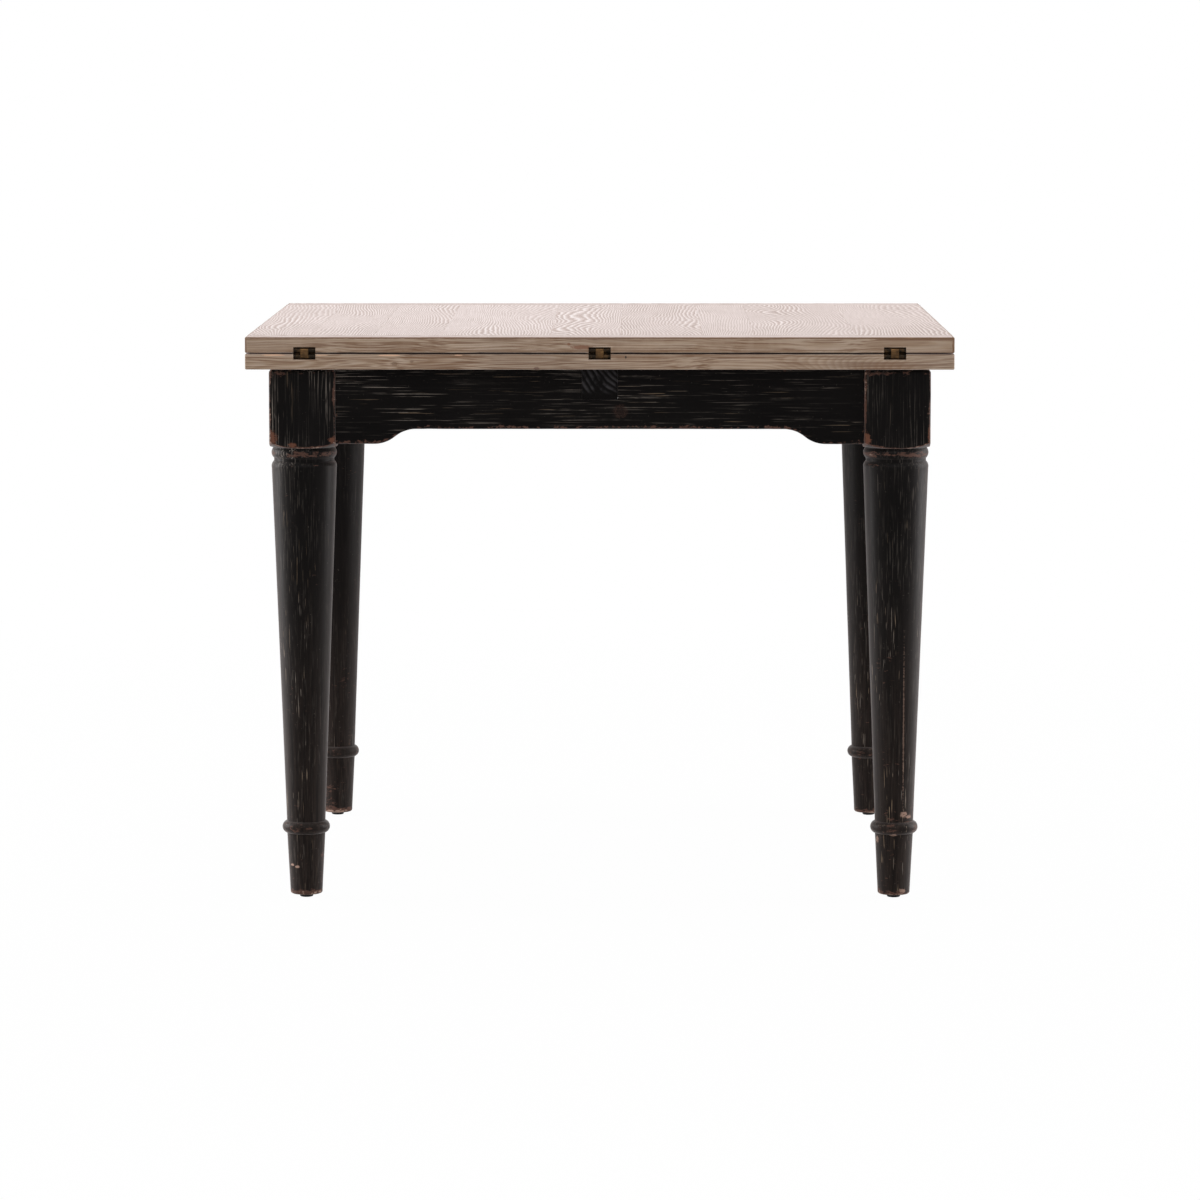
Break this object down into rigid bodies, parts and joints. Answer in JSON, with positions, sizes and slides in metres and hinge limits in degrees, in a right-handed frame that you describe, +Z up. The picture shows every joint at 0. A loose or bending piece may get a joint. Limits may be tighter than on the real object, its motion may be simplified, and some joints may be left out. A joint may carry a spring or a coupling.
{
  "type": "flip-top extending dining table",
  "caption": "Square dining table on turned legs whose folded double top slides back on a beam and turns over on leg hinges to double its length.",
  "frame": {"origin": "on the floor under the middle of the closed top", "axes": "+X along the hinge line, +Y from the hinged front edge towards the back, +Z up"},
  "size_m": [0.99, 0.99, 0.8],
  "materials": {
    "limed_pine": "limed, matt",
    "black_paint": "black paint, rubbed through to the wood at edges",
    "raw_wood": "planed, unfinished",
    "aged_brass": "tarnished",
    "dark_steel": "browned",
    "zinc_steel": "zinc plated",
    "nylon": "matt",
    "glide_plastic": "matt"
  },
  "bodies": {
    "base": {"brace_screws": "zinc_steel", "corner_brace_front_left": "raw_wood", "corner_brace_front_right": "raw_wood", "corner_brace_rear_left": "raw_wood", "corner_brace_rear_right": "raw_wood", "floor_glides": "glide_plastic", "front_apron": "black_paint", "guide_rail_left": "raw_wood", "guide_rail_right": "raw_wood", "left_apron": "black_paint", "leg_bolts": "zinc_steel", "leg_front_left": "black_paint", "leg_front_right": "black_paint", "leg_nuts": "zinc_steel", "leg_rear_left": "black_paint", "leg_rear_right": "black_paint", "leg_washers": "zinc_steel", "rail_angle_screws": "zinc_steel", "rail_angles": "zinc_steel", "rear_apron": "black_paint", "right_apron": "black_paint", "slide_strips": "nylon"},
    "lower_leaf": {"beam_screws": "zinc_steel", "lower_back_strip": "limed_pine", "lower_hinge_pins": "dark_steel", "lower_hinge_plate_left": "aged_brass", "lower_hinge_plate_middle": "aged_brass", "lower_hinge_plate_right": "aged_brass", "lower_hinge_screws": "dark_steel", "lower_hinge_strip": "limed_pine", "lower_plank_1": "limed_pine", "lower_plank_2": "limed_pine", "lower_plank_3": "limed_pine", "lower_plank_4": "limed_pine", "lower_plank_5": "limed_pine", "lower_plank_6": "limed_pine", "lower_plank_7": "limed_pine", "lower_plank_8": "limed_pine", "lower_plank_9": "limed_pine", "slide_beam": "black_paint"},
    "hinge_links": {"hinge_link_left": "aged_brass", "hinge_link_middle": "aged_brass", "hinge_link_right": "aged_brass"},
    "upper_leaf": {"upper_back_strip": "limed_pine", "upper_hinge_pins": "dark_steel", "upper_hinge_plate_left": "aged_brass", "upper_hinge_plate_middle": "aged_brass", "upper_hinge_plate_right": "aged_brass", "upper_hinge_screws": "dark_steel", "upper_hinge_strip": "limed_pine", "upper_plank_1": "limed_pine", "upper_plank_2": "limed_pine", "upper_plank_3": "limed_pine", "upper_plank_4": "limed_pine", "upper_plank_5": "limed_pine", "upper_plank_6": "limed_pine", "upper_plank_7": "limed_pine", "upper_plank_8": "limed_pine", "upper_plank_9": "limed_pine"}
  },
  "joints": [
    {"name": "top_slide", "type": "slide", "parent": "base", "child": "lower_leaf", "axis": [0, 1, 0], "range_m": [0, 0.495]},
    {"name": "link_turn", "type": "hinge", "parent": "lower_leaf", "child": "hinge_links", "pos_m": [0, -0.4912, 0.773], "axis": [1, 0, 0], "range_deg": [0, 90]},
    {"name": "leaf_turn", "type": "hinge", "parent": "hinge_links", "child": "upper_leaf", "pos_m": [0, -0.4912, 0.7818], "axis": [1, 0, 0], "range_deg": [0, 90]}
  ]
}
